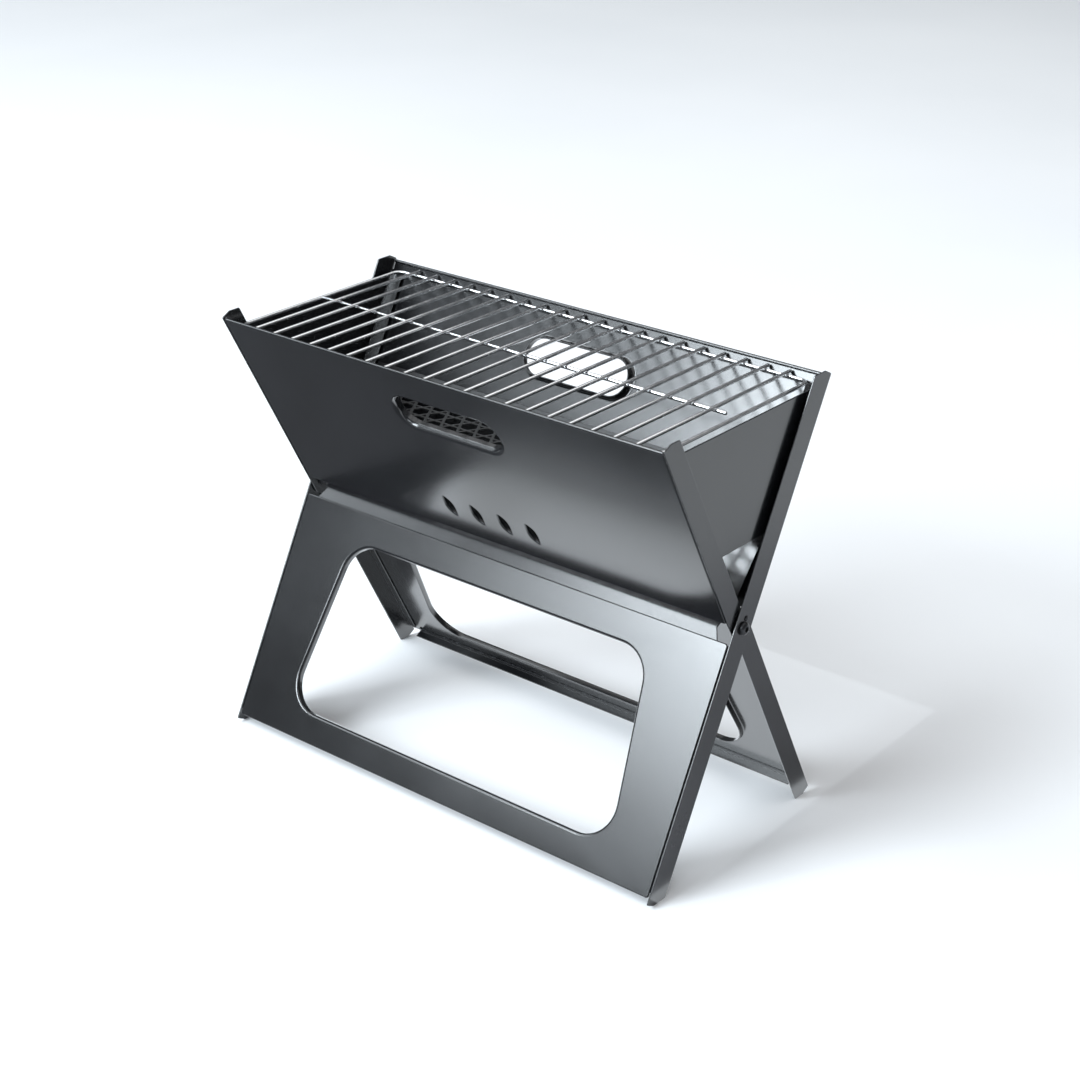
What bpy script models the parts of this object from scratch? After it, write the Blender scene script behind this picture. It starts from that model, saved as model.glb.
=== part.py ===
"""Folding camp grill: two nested sheet-metal frames that cross at a pivot, with loose grates and end panels.

Metres, +Z up, origin on the floor under the pivot, X along the pivot axis, -Y towards the user.
Each frame has its own section plane: s runs up the rail from the pivot, o runs outwards to the front face.
"""
import math

import bmesh
import bpy
from mathutils import Vector

# Overall frame
HALF_WIDTH = 0.225
PIVOT_HEIGHT = 0.196
TOP_HEIGHT = 0.376
LEAN = math.radians(27.6)
SHEET = 0.0012
GAP = 0.0003
SEAM = 0.0009

# Rails
RAIL_DEPTH = 0.022
HALF_DEPTH = RAIL_DEPTH / 2
FREE_EDGE_TRIM = 0.0035
FOOT_FLAT_EDGE = 0.002
FLANGE_WIDTH = 0.008
FLANGE_START = 0.016
FLANGE_END_INSET = 0.009
PIVOT_EYE_RADIUS = 0.012

# Panels
PANEL_START = 0.0145
WALL_TOP = 0.2028
LEG_BOTTOM = -0.2172
HEM_RADIUS = 0.0015
LEG_LIP_DEPTH = 0.009
LEG_LIP_INSET = 0.011

# Leg cut-outs and handle slots
CUTOUT_TOP = -0.041
CUTOUT_BOTTOM = -0.192
CUTOUT_HALF_TOP = 0.157
CUTOUT_HALF_BOTTOM = 0.175
CUTOUT_RADIUS = 0.028
CUTOUT_RIM = 0.006
SLOT_CENTRE = 0.1555
SLOT_HALF_LENGTH = 0.0525
SLOT_HALF_HEIGHT = 0.0155
SLOT_RADIUS = 0.0148
SLOT_COLLAR = 0.008
VENT_COUNT = 4
VENT_PITCH = 0.029
VENT_CENTRE = 0.046
VENT_HALF_LENGTH = 0.011
VENT_HALF_WIDTH = 0.0044
VENT_SKEW = 0.45
VENT_SLANT = math.radians(19)

# Trough floor
TROUGH_HALF_LENGTH = 0.2126
TROUGH_FRONT_LAP = (-0.027, -0.016)
TROUGH_BACK_LAP = (0.067, 0.078)

# Pivot hardware
HINGE_GAP = 0.0014
BOLT_RADIUS = 0.0025
HOLE_RADIUS = 0.0028
HEAD_RADIUS = 0.0055
HEAD_HEIGHT = 0.0032
RECESS_RADIUS = 0.0022
RECESS_DEPTH = 0.0015
RING_RADIUS = 0.0052
RING_THICKNESS = 0.0008
NUT_RADIUS = 0.0046
NUT_THICKNESS = 0.004
BOLT_TAIL = 0.0012
STOP_RADIUS = 0.008
STOP_PIN_RADIUS = 0.0014
STOP_HEAD_RADIUS = 0.0022
STOP_HEAD_HEIGHT = 0.0009
STOP_SLOT_HALF = 0.0018
STOP_HOLE_RADIUS = 0.0017
STOP_PLAY = math.radians(13.2)

# Loose pieces
GRATE_HEIGHT = 0.085
GRATE_HALF_LENGTH = 0.2070
GRATE_LIP_HEIGHT = 0.011
HEX_PITCH = 0.018
HEX_RADIUS = 0.0076
HEX_COLUMNS = 21
TRIANGLE_RADIUS = 0.0027
END_PANEL_X = 0.2196
END_PANEL_FOOT = 0.0609
END_PANEL_TOP = 0.1670
END_PANEL_LIP = 0.011
WIRE_RADIUS = 0.0015
WELD = 0.0004
GRID_HALF_LENGTH = 0.212
GRID_SPACES = 21
GRID_OVERHANG = 0.0055
GRID_CORNER = 0.008
GRID_SPINE_STOP = 0.202

OUTER_WEB = HALF_WIDTH - SHEET
INNER_FACE = OUTER_WEB - HINGE_GAP
INNER_WEB = INNER_FACE - SHEET

SIDES = {"left": -1, "right": 1}


def outer_point(x, s, o):
    """World point from the outer frame's section plane."""
    y = s * math.sin(LEAN) - o * math.cos(LEAN)
    z = PIVOT_HEIGHT + s * math.cos(LEAN) + o * math.sin(LEAN)
    return Vector((x, y, z))


def inner_point(x, s, o):
    """World point from the inner frame's section plane."""
    y = -s * math.sin(LEAN) - o * math.cos(LEAN)
    z = PIVOT_HEIGHT + s * math.cos(LEAN) - o * math.sin(LEAN)
    return Vector((x, y, z))


def make_material(name, colour, metallic, roughness):
    material = bpy.data.materials.new(name)
    material.use_nodes = True
    shader = material.node_tree.nodes["Principled BSDF"]
    shader.inputs["Base Color"].default_value = (*colour, 1.0)
    shader.inputs["Metallic"].default_value = metallic
    shader.inputs["Roughness"].default_value = roughness
    material.diffuse_color = (*colour, 1.0)
    return material


def add_prism(bm, outline, low, high, place):
    """Close a 2D outline between two depths; place(a, b, depth) gives the world point."""
    bottom = [bm.verts.new(place(a, b, low)) for a, b in outline]
    top = [bm.verts.new(place(a, b, high)) for a, b in outline]
    count = len(outline)
    bm.faces.new(bottom)
    bm.faces.new(list(reversed(top)))
    for i in range(count):
        j = (i + 1) % count
        bm.faces.new((bottom[j], bottom[i], top[i], top[j]))


def add_ring_prism(bm, outer, inner, low, high, place):
    """Close the space between two outlines of equal length."""
    loops = []
    for outline, depth in ((outer, low), (outer, high), (inner, high), (inner, low)):
        loops.append([bm.verts.new(place(a, b, depth)) for a, b in outline])
    count = len(outer)
    for k in range(4):
        first, second = loops[k], loops[(k + 1) % 4]
        for i in range(count):
            j = (i + 1) % count
            bm.faces.new((first[i], first[j], second[j], second[i]))


def add_lathe(bm, profile, centre, segments=28):
    """Revolve (x, radius) pairs about the X direction through centre, closing both ends."""
    rings = []
    for x, radius in profile:
        ring = []
        for i in range(segments):
            angle = 2 * math.pi * i / segments
            point = (x, centre[1] + radius * math.cos(angle), centre[2] + radius * math.sin(angle))
            ring.append(bm.verts.new(point))
        rings.append(ring)
    for first, second in zip(rings, rings[1:]):
        for i in range(segments):
            j = (i + 1) % segments
            bm.faces.new((first[i], first[j], second[j], second[i]))
    bm.faces.new(rings[0])
    bm.faces.new(list(reversed(rings[-1])))


def add_wire(bm, path, radius, closed=False, sides=8):
    """Sweep a round wire along a flat path in a level plane."""
    rings = []
    count = len(path)
    for i, point in enumerate(path):
        before = path[i - 1] if (closed or i > 0) else point
        after = path[(i + 1) % count] if (closed or i < count - 1) else point
        along = (Vector(after) - Vector(before)).normalized()
        side = Vector((along.y, -along.x, 0.0))
        ring = []
        for k in range(sides):
            angle = 2 * math.pi * (k + 0.5) / sides
            offset = side * math.cos(angle) + Vector((0, 0, 1)) * math.sin(angle)
            ring.append(bm.verts.new(Vector(point) + offset * radius))
        rings.append(ring)
    pairs = list(zip(rings, rings[1:]))
    if closed:
        pairs.append((rings[-1], rings[0]))
    for first, second in pairs:
        for k in range(sides):
            j = (k + 1) % sides
            bm.faces.new((first[k], first[j], second[j], second[k]))
    if not closed:
        bm.faces.new(rings[0])
        bm.faces.new(list(reversed(rings[-1])))


def make_object(name, bm, material=None, origin=(0.0, 0.0, 0.0), smooth=False):
    """Turn the bmesh into an object whose origin is at the given world point."""
    bmesh.ops.recalc_face_normals(bm, faces=bm.faces)
    bmesh.ops.translate(bm, verts=bm.verts, vec=-Vector(origin))
    mesh = bpy.data.meshes.new(name)
    bm.to_mesh(mesh)
    bm.free()
    if smooth:
        for polygon in mesh.polygons:
            polygon.use_smooth = True
        mesh.set_sharp_from_angle(angle=math.radians(35))
    obj = bpy.data.objects.new(name, mesh)
    obj.location = origin
    if material is not None:
        mesh.materials.append(material)
    bpy.context.scene.collection.objects.link(obj)
    return obj


def make_cutter(name, bm, origin=(0.0, 0.0, 0.0)):
    cutter = make_object(name, bm, None, origin)
    cutter.hide_render = True
    cutter.display_type = "WIRE"
    return cutter


def cut(target, cutter, operation="DIFFERENCE"):
    """Exact boolean that also merges the overlapping shapes inside the target."""
    modifier = target.modifiers.new(cutter.name, "BOOLEAN")
    modifier.solver = "EXACT"
    modifier.operation = operation
    modifier.use_self = True
    modifier.object = cutter


def round_outline(corners, radius, steps=7):
    """Round each corner of a convex outline given as (a, b) pairs."""
    outline = []
    count = len(corners)
    for i, corner in enumerate(corners):
        corner = Vector(corner)
        before = (Vector(corners[i - 1]) - corner).normalized()
        after = (Vector(corners[(i + 1) % count]) - corner).normalized()
        half = before.angle(after) / 2
        reach = radius / math.tan(half)
        start = corner + before * reach
        centre = corner + (before + after).normalized() * (radius / math.sin(half))
        sweep = math.pi - 2 * half
        turn = 1 if before.x * after.y - before.y * after.x < 0 else -1
        for k in range(steps):
            angle = turn * sweep * k / (steps - 1)
            arm = start - centre
            c, sn = math.cos(angle), math.sin(angle)
            outline.append((centre.x + arm.x * c - arm.y * sn, centre.y + arm.x * sn + arm.y * c))
    return outline


def cutout_corners(grow=0.0):
    """Corners of the trapezoid opening in a leg panel."""
    return [
        (-CUTOUT_HALF_TOP - grow, CUTOUT_TOP + grow),
        (-CUTOUT_HALF_BOTTOM - grow, CUTOUT_BOTTOM - grow),
        (CUTOUT_HALF_BOTTOM + grow, CUTOUT_BOTTOM - grow),
        (CUTOUT_HALF_TOP + grow, CUTOUT_TOP + grow),
    ]


def slot_corners(grow=0.0):
    """Corners of the hand slot in a wall."""
    half_length = SLOT_HALF_LENGTH + grow
    half_height = SLOT_HALF_HEIGHT + grow
    return [
        (-half_length, SLOT_CENTRE + half_height),
        (-half_length, SLOT_CENTRE - half_height),
        (half_length, SLOT_CENTRE - half_height),
        (half_length, SLOT_CENTRE + half_height),
    ]


def strip_outline(path, thickness):
    """Thicken an open path of (a, b) pairs into a closed strip outline with mitred bends."""
    points = [Vector(p) for p in path]
    left, right = [], []
    for i, point in enumerate(points):
        normals = []
        if i > 0:
            d = (point - points[i - 1]).normalized()
            normals.append(Vector((-d.y, d.x)))
        if i < len(points) - 1:
            d = (points[i + 1] - point).normalized()
            normals.append(Vector((-d.y, d.x)))
        normal = sum(normals, Vector((0.0, 0.0))).normalized()
        reach = thickness / 2 / normal.dot(normals[0])
        left.append(tuple(point + normal * reach))
        right.append(tuple(point - normal * reach))
    return left + right[::-1]


def arc(radius, start, end, steps):
    """Points on a circle about the pivot; zero is up the rail, positive turns to the front."""
    points = []
    for k in range(steps):
        angle = start + (end - start) * k / (steps - 1)
        points.append((radius * math.cos(angle), radius * math.sin(angle)))
    return points


def level_cut(height, o, sign):
    """Where a level plane meets the outer (sign 1) or inner (sign -1) rail at offset o."""
    return (height - PIVOT_HEIGHT - sign * o * math.sin(LEAN)) / math.cos(LEAN)


def wall_inside(height):
    """Distance from the middle plane to the inner face of either wall, at a height over the pivot."""
    return height * math.tan(LEAN) + (HALF_DEPTH - SHEET) / math.cos(LEAN)


def outer_rail_outline():
    top = level_cut(TOP_HEIGHT, -FOOT_FLAT_EDGE, 1)
    bottom = level_cut(0.0, FOOT_FLAT_EDGE, 1)
    return [
        (bottom, HALF_DEPTH),
        (bottom, FOOT_FLAT_EDGE),
        (level_cut(0.0, -HALF_DEPTH, 1), -HALF_DEPTH),
        (top, -HALF_DEPTH),
        (top, -FOOT_FLAT_EDGE),
        (level_cut(TOP_HEIGHT, HALF_DEPTH, 1), HALF_DEPTH),
    ]


def inner_rail_outline():
    free = HALF_DEPTH - FREE_EDGE_TRIM
    top = level_cut(TOP_HEIGHT, FOOT_FLAT_EDGE, -1)
    bottom = level_cut(0.0, -FOOT_FLAT_EDGE, -1)
    eye_free = math.asin(free / PIVOT_EYE_RADIUS)
    eye_panel = math.asin(HALF_DEPTH / PIVOT_EYE_RADIUS)
    front_eye = arc(PIVOT_EYE_RADIUS, math.pi - eye_free, math.pi - eye_panel, 5)
    back_eye = arc(PIVOT_EYE_RADIUS, -eye_free, -eye_panel, 5)
    return [
        (bottom, -HALF_DEPTH),
        (bottom, -FOOT_FLAT_EDGE),
        (level_cut(0.0, free, -1), free),
        *front_eye,
        (top, HALF_DEPTH),
        (top, FOOT_FLAT_EDGE),
        (level_cut(TOP_HEIGHT, -free, -1), -free),
        *back_eye,
    ]


def box_outline(a_low, a_high, b_low, b_high):
    return [(a_low, b_low), (a_high, b_low), (a_high, b_high), (a_low, b_high)]


def circle(radius, centre=(0.0, 0.0), steps=24):
    points = []
    for k in range(steps):
        angle = 2 * math.pi * k / steps
        points.append((centre[0] + radius * math.cos(angle), centre[1] + radius * math.sin(angle)))
    return points


def make_rail(name, side, point, face, outline, front_low, material, origin):
    """Flat rail with one flange behind each panel; front_low is 1 if its leg is the front one."""
    web_in, web_out = face - SHEET, face

    def place(s, o, x):
        return point(side * x, s, o)

    bm = bmesh.new()
    add_prism(bm, outline, web_in, web_out, place)
    near = HALF_DEPTH - 2 * SHEET - GAP
    far = HALF_DEPTH - SHEET - GAP
    low_end = LEG_BOTTOM + FLANGE_END_INSET / 2
    high_end = WALL_TOP - FLANGE_END_INSET
    for s_low, s_high, sign in ((low_end, -FLANGE_START, front_low), (FLANGE_START, high_end, -front_low)):
        section = box_outline(s_low, s_high, sign * near, sign * far)
        add_prism(bm, section, face - FLANGE_WIDTH, face - SHEET / 2, place)
    rail = make_object(name, bm, material, origin)

    bm = bmesh.new()
    add_prism(bm, circle(HOLE_RADIUS), web_in - SHEET, web_out + SHEET, place)
    if front_low > 0:
        hole = circle(STOP_HOLE_RADIUS, (STOP_RADIUS, 0.0), 16)
    else:
        start, end = STOP_PLAY, -2 * LEAN - STOP_PLAY
        outer_arc = arc(STOP_RADIUS + STOP_SLOT_HALF, start, end, 14)
        inner_arc = arc(STOP_RADIUS - STOP_SLOT_HALF, end, start, 10)
        hole = outer_arc + inner_arc
    add_prism(bm, hole, web_in - SHEET, web_out + SHEET, place)
    cutter = make_cutter("cut_" + name, bm, origin)
    cut(rail, cutter)
    return rail


def make_leg_panel(name, point, half_width, sign, material, origin):
    """Leg panel with a rimmed opening and a lip folded inwards along the bottom."""
    face = sign * HALF_DEPTH
    back = sign * (HALF_DEPTH - SHEET)
    middle = sign * (HALF_DEPTH - SHEET / 2)

    def place(x, s, o):
        return point(x, s, o)

    bm = bmesh.new()
    add_prism(bm, box_outline(-half_width, half_width, LEG_BOTTOM, -PANEL_START), back, face, place)
    outer = round_outline(cutout_corners(SHEET), CUTOUT_RADIUS + SHEET)
    inner = round_outline(cutout_corners(-SHEET), CUTOUT_RADIUS - SHEET)
    add_ring_prism(bm, outer, inner, sign * (HALF_DEPTH - CUTOUT_RIM), middle, place)
    lip = box_outline(-half_width + LEG_LIP_INSET, half_width - LEG_LIP_INSET,
                      LEG_BOTTOM + SHEET * 0.01, LEG_BOTTOM + SHEET)
    add_prism(bm, lip, sign * (HALF_DEPTH - LEG_LIP_DEPTH), middle, place)
    panel = make_object(name, bm, material, origin)

    bm = bmesh.new()
    opening = round_outline(cutout_corners(), CUTOUT_RADIUS)
    add_prism(bm, opening, sign * (HALF_DEPTH - 2 * CUTOUT_RIM), sign * (HALF_DEPTH + SHEET), place)
    cutter = make_cutter("cut_" + name, bm, origin)
    cut(panel, cutter)
    return panel


def vent_outline(index):
    """Leaf shape with pointed ends, leaning to the right at the bottom."""
    centre = (index - (VENT_COUNT - 1) / 2) * VENT_PITCH
    points = []
    steps = 8
    for direction in (1, -1):
        for k in range(steps):
            t = -1 + 2 * k / steps
            along = direction * t * VENT_HALF_LENGTH
            across = direction * VENT_HALF_WIDTH * (1 - t * t) * (1 + VENT_SKEW * t)
            x = centre - along * math.sin(VENT_SLANT) + across * math.cos(VENT_SLANT)
            s = VENT_CENTRE + along * math.cos(VENT_SLANT) + across * math.sin(VENT_SLANT)
            points.append((x, s))
    return points


def make_wall(name, point, half_width, sign, vents, material, origin):
    """Upper wall with a collared hand slot and a rolled top edge."""
    face = sign * HALF_DEPTH
    back = sign * (HALF_DEPTH - SHEET)
    middle = sign * (HALF_DEPTH - SHEET / 2)

    def place(x, s, o):
        return point(x, s, o)

    bm = bmesh.new()
    plate_top = WALL_TOP - HEM_RADIUS
    add_prism(bm, box_outline(-half_width, half_width, PANEL_START, plate_top), back, face, place)
    outer = round_outline(slot_corners(SHEET), SLOT_RADIUS + SHEET)
    inner = round_outline(slot_corners(-SHEET), SLOT_RADIUS - SHEET)
    add_ring_prism(bm, outer, inner, sign * (HALF_DEPTH - SLOT_COLLAR), middle, place)

    hem_centre = (plate_top, sign * (HALF_DEPTH - HEM_RADIUS))

    def place_hem(s, o, x):
        return point(x, s, o)

    hem_half = half_width - SHEET / 4
    add_prism(bm, circle(HEM_RADIUS + SHEET * 0.02, hem_centre, 14), -hem_half, hem_half, place_hem)
    wall = make_object(name, bm, material, origin)

    bm = bmesh.new()
    slot = round_outline(slot_corners(), SLOT_RADIUS)
    add_prism(bm, slot, sign * (HALF_DEPTH - 2 * SLOT_COLLAR), sign * (HALF_DEPTH + SHEET), place)
    if vents:
        for index in range(VENT_COUNT):
            low, high = sign * (HALF_DEPTH - 3 * SHEET), sign * (HALF_DEPTH + 2 * SHEET)
            add_prism(bm, vent_outline(index), low, high, place)
    cutter = make_cutter("cut_" + name, bm, origin)
    cut(wall, cutter)
    return wall


def make_trough_floor(material):
    lap = HALF_DEPTH - SHEET - GAP - SHEET / 2
    path = [
        (TROUGH_FRONT_LAP[0], lap),
        (TROUGH_FRONT_LAP[1], lap),
        (TROUGH_BACK_LAP[0], -lap),
        (TROUGH_BACK_LAP[1], -lap),
    ]

    def place(s, o, x):
        return outer_point(x, s, o)

    bm = bmesh.new()
    add_prism(bm, strip_outline(path, SHEET), -TROUGH_HALF_LENGTH, TROUGH_HALF_LENGTH, place)
    return make_object("trough_floor", bm, material)


def make_pivot(side_name, side, steel):
    """Bolt, spacer, washer, nut and fold stop on one side."""
    centre = (0.0, 0.0, PIVOT_HEIGHT)
    head_in = HALF_WIDTH + GAP
    head_out = head_in + HEAD_HEIGHT
    washer_out = INNER_WEB - GAP
    washer_in = washer_out - RING_THICKNESS
    nut_out = washer_in - GAP
    nut_in = nut_out - NUT_THICKNESS
    tail = nut_in - BOLT_TAIL
    chamfer = 0.0004

    bm = bmesh.new()
    profile = [
        (tail, BOLT_RADIUS - chamfer),
        (tail + chamfer, BOLT_RADIUS),
        (head_in, BOLT_RADIUS),
        (head_in, HEAD_RADIUS),
        (head_in + 0.4 * HEAD_HEIGHT, HEAD_RADIUS),
        (head_in + 0.75 * HEAD_HEIGHT, 0.86 * HEAD_RADIUS),
        (head_in + 0.95 * HEAD_HEIGHT, 0.64 * HEAD_RADIUS),
        (head_out, 0.5 * HEAD_RADIUS),
    ]
    add_lathe(bm, [(side * x, radius) for x, radius in profile], centre)
    bolt = make_object("pivot_bolt_" + side_name, bm, steel, centre, smooth=True)

    def place(a, b, x):
        return Vector((side * x, a, PIVOT_HEIGHT + b))

    bm = bmesh.new()
    add_prism(bm, circle(RECESS_RADIUS, steps=6), head_out - RECESS_DEPTH, head_out + SHEET, place)
    cutter = make_cutter("cut_pivot_bolt_" + side_name, bm, centre)
    cut(bolt, cutter)

    ring_steps = 28
    outer = circle(RING_RADIUS, steps=ring_steps)
    bore = circle(HOLE_RADIUS, steps=ring_steps)
    spacer_out = OUTER_WEB - GAP
    for name, low, high in (
        ("pivot_spacer_", spacer_out - RING_THICKNESS, spacer_out),
        ("pivot_washer_", washer_in, washer_out),
    ):
        bm = bmesh.new()
        add_ring_prism(bm, outer, bore, low, high, place)
        make_object(name + side_name, bm, steel, centre, smooth=True)

    hexagon = []
    for k in range(24):
        angle = 2 * math.pi * k / 24
        nearest_flat = (k % 4 - 2) * math.pi / 12
        reach = NUT_RADIUS * math.cos(math.pi / 6) / math.cos(nearest_flat)
        hexagon.append((reach * math.cos(angle), reach * math.sin(angle)))
    bm = bmesh.new()
    add_ring_prism(bm, hexagon, circle(HOLE_RADIUS, steps=24), nut_in, nut_out, place)
    make_object("pivot_nut_" + side_name, bm, steel, centre, smooth=True)

    stop = outer_point(0.0, STOP_RADIUS, 0.0)
    stop_tail = INNER_WEB - GAP
    profile = [
        (stop_tail - STOP_HEAD_HEIGHT, 0.8 * STOP_HEAD_RADIUS),
        (stop_tail - STOP_HEAD_HEIGHT / 2, STOP_HEAD_RADIUS),
        (stop_tail, STOP_HEAD_RADIUS),
        (stop_tail, STOP_PIN_RADIUS),
        (head_in, STOP_PIN_RADIUS),
        (head_in, STOP_HEAD_RADIUS),
        (head_in + STOP_HEAD_HEIGHT / 2, 0.9 * STOP_HEAD_RADIUS),
        (head_in + STOP_HEAD_HEIGHT, 0.55 * STOP_HEAD_RADIUS),
    ]
    bm = bmesh.new()
    add_lathe(bm, [(side * x, radius) for x, radius in profile], stop, 20)
    make_object("fold_stop_" + side_name, bm, steel, stop, smooth=True)


def make_charcoal_grate(material):
    """Perforated plate with lips that lean against both walls."""
    clear = GAP + SHEET / 2
    low = GRATE_HEIGHT
    high = low + GRATE_LIP_HEIGHT
    y_low = wall_inside(low) - clear / math.cos(LEAN)
    y_high = wall_inside(high) - clear / math.cos(LEAN)
    path = [(-y_high, high), (-y_low, low), (y_low, low), (y_high, high)]
    origin = (0.0, 0.0, PIVOT_HEIGHT + low)

    def place(y, h, x):
        return Vector((x, y, PIVOT_HEIGHT + h))

    bm = bmesh.new()
    add_prism(bm, strip_outline(path, SHEET), -GRATE_HALF_LENGTH, GRATE_HALF_LENGTH, place)
    grate = make_object("charcoal_grate", bm, material, origin)

    def place_hole(x, y, h):
        return Vector((x, y, PIVOT_HEIGHT + h))

    def punch(x, y, corners, radius, turn):
        outline = []
        for k in range(corners):
            angle = turn + 2 * math.pi * k / corners
            outline.append((x + radius * math.cos(angle), y + radius * math.sin(angle)))
        add_prism(bm, outline, low - 3 * SHEET, low + 3 * SHEET, place_hole)

    bm = bmesh.new()
    row_pitch = HEX_PITCH * math.sqrt(3) / 2
    reach = HEX_PITCH / math.sqrt(3)
    for row in range(-2, 3):
        columns = HEX_COLUMNS - row % 2
        for column in range(columns):
            x = (column - (columns - 1) / 2) * HEX_PITCH
            y = row * row_pitch
            punch(x, y, 6, HEX_RADIUS, 0.0)
            punch(x, y + reach, 3, TRIANGLE_RADIUS, math.pi / 2)
            punch(x, y - reach, 3, TRIANGLE_RADIUS, -math.pi / 2)
    cutter = make_cutter("cut_charcoal_grate", bm, origin)
    cut(grate, cutter)
    return grate


def make_end_panel(side_name, side, material):
    """Drop-in plate that closes one end of the fire trough, with a lip along each wall."""
    low = END_PANEL_FOOT
    high = END_PANEL_TOP
    clear = (SHEET + 2 * GAP) / math.cos(LEAN)
    slope = math.tan(LEAN)
    y_low = wall_inside(low) - clear
    y_high = wall_inside(high) - clear
    origin = (side * END_PANEL_X, 0.0, PIVOT_HEIGHT + low)

    def place(y, h, x):
        return Vector((side * x, y, PIVOT_HEIGHT + h))

    outline = [(-y_low, low), (-y_high, high), (y_high, high), (y_low, low)]
    bm = bmesh.new()
    add_prism(bm, outline, END_PANEL_X - SHEET, END_PANEL_X, place)
    panel = make_object("end_panel_" + side_name, bm, material, origin)

    bm = bmesh.new()
    lip_low = low + 2 * SHEET
    lip_high = high - SHEET / 2
    thick = SHEET / math.cos(LEAN)
    inset = 0.00002
    for sign in (-1, 1):
        y_a = wall_inside(lip_low) - clear - inset
        y_b = y_a + (lip_high - lip_low) * slope
        section = [
            (sign * y_a, lip_low),
            (sign * y_b, lip_high),
            (sign * (y_b - thick), lip_high),
            (sign * (y_a - thick), lip_low),
        ]
        add_prism(bm, section, END_PANEL_X - END_PANEL_LIP, END_PANEL_X - SHEET / 2, place)
    cutter = make_cutter("weld_end_panel_" + side_name, bm, origin)
    cut(panel, cutter, "UNION")
    return panel


def make_cooking_grid(material):
    """Welded wire grid: a rounded loop, one spine wire and a row of cross wires on top."""
    loop_height = END_PANEL_TOP + GAP + WIRE_RADIUS
    cross_height = loop_height + 2 * WIRE_RADIUS - WELD
    cross_half = wall_inside(cross_height - WIRE_RADIUS) - 2 * GAP
    loop_half = cross_half - GRID_OVERHANG
    origin = (0.0, 0.0, PIVOT_HEIGHT + loop_height)
    loop_z = PIVOT_HEIGHT + loop_height
    cross_z = PIVOT_HEIGHT + cross_height

    corners = [
        (-GRID_HALF_LENGTH, loop_half),
        (-GRID_HALF_LENGTH, -loop_half),
        (GRID_HALF_LENGTH, -loop_half),
        (GRID_HALF_LENGTH, loop_half),
    ]
    bm = bmesh.new()
    loop = [(x, y, loop_z) for x, y in round_outline(corners, GRID_CORNER, 6)]
    add_wire(bm, loop, WIRE_RADIUS, closed=True)
    grid = make_object("cooking_grid", bm, material, origin)

    bm = bmesh.new()
    pitch = 2 * GRID_HALF_LENGTH / GRID_SPACES
    for index in range(1, GRID_SPACES):
        x = -GRID_HALF_LENGTH + index * pitch
        add_wire(bm, [(x, -cross_half, cross_z), (x, cross_half, cross_z)], WIRE_RADIUS)
    spine = [(-GRID_HALF_LENGTH, 0.0, loop_z), (GRID_SPINE_STOP, 0.0, loop_z)]
    add_wire(bm, spine, WIRE_RADIUS)
    cutter = make_cutter("weld_cooking_grid", bm, origin)
    cut(grid, cutter, "UNION")
    return grid


def clear_scene():
    for old in list(bpy.data.objects):
        bpy.data.objects.remove(old, do_unlink=True)


def build():
    clear_scene()
    enamel = make_material("black_enamel", (0.035, 0.037, 0.043), 0.0, 0.28)
    steel = make_material("dark_steel", (0.22, 0.22, 0.23), 1.0, 0.35)
    chrome = make_material("chrome_wire", (0.78, 0.78, 0.8), 1.0, 0.16)

    floor_point = (0.0, 0.0, 0.0)
    pivot = (0.0, 0.0, PIVOT_HEIGHT)
    outer_half = OUTER_WEB - SEAM
    inner_half = INNER_WEB - SEAM

    for side_name, side in SIDES.items():
        make_rail("outer_rail_" + side_name, side, outer_point, HALF_WIDTH,
                  outer_rail_outline(), 1, enamel, floor_point)
        make_rail("inner_rail_" + side_name, side, inner_point, INNER_FACE,
                  inner_rail_outline(), -1, enamel, pivot)
        make_pivot(side_name, side, steel)
        make_end_panel(side_name, side, enamel)

    make_leg_panel("front_leg_panel", outer_point, outer_half, 1, enamel, floor_point)
    make_wall("back_wall", outer_point, outer_half, -1, False, enamel, floor_point)
    make_trough_floor(enamel)
    make_wall("front_wall", inner_point, inner_half, 1, True, enamel, pivot)
    make_leg_panel("rear_leg_panel", inner_point, inner_half, -1, enamel, pivot)
    make_charcoal_grate(enamel)
    make_cooking_grid(chrome)


build()
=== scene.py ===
"""Looks for the folding camp grill: detailed sheet metal, wire grid, studio floor, lights and camera."""
import math

import bmesh
import bpy
from mathutils import Matrix, Vector, geometry


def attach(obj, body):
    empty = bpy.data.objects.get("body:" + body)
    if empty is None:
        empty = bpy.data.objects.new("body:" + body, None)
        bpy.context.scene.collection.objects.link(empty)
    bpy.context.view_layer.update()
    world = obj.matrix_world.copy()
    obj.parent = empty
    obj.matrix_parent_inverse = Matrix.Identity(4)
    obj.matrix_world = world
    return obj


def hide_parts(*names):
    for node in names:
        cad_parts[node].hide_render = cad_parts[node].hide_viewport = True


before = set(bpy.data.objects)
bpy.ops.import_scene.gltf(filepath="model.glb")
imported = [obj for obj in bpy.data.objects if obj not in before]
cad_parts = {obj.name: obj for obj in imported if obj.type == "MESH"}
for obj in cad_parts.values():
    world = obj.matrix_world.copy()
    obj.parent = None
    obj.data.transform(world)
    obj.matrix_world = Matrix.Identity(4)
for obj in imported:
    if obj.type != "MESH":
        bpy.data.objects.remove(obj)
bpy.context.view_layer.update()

# Frame sizes, the same as the CAD's (metres)
HALF_WIDTH = 0.225
PIVOT_HEIGHT = 0.196
TOP_HEIGHT = 0.376
LEAN = math.radians(27.6)
SHEET = 0.0012
GAP = 0.0003
SEAM = 0.0009
HALF_DEPTH = 0.011
FREE_EDGE_TRIM = 0.0035
FOOT_FLAT_EDGE = 0.002
FLANGE_WIDTH = 0.008
FLANGE_START = 0.016
FLANGE_END_INSET = 0.009
PIVOT_EYE_RADIUS = 0.012
PANEL_START = 0.0145
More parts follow.
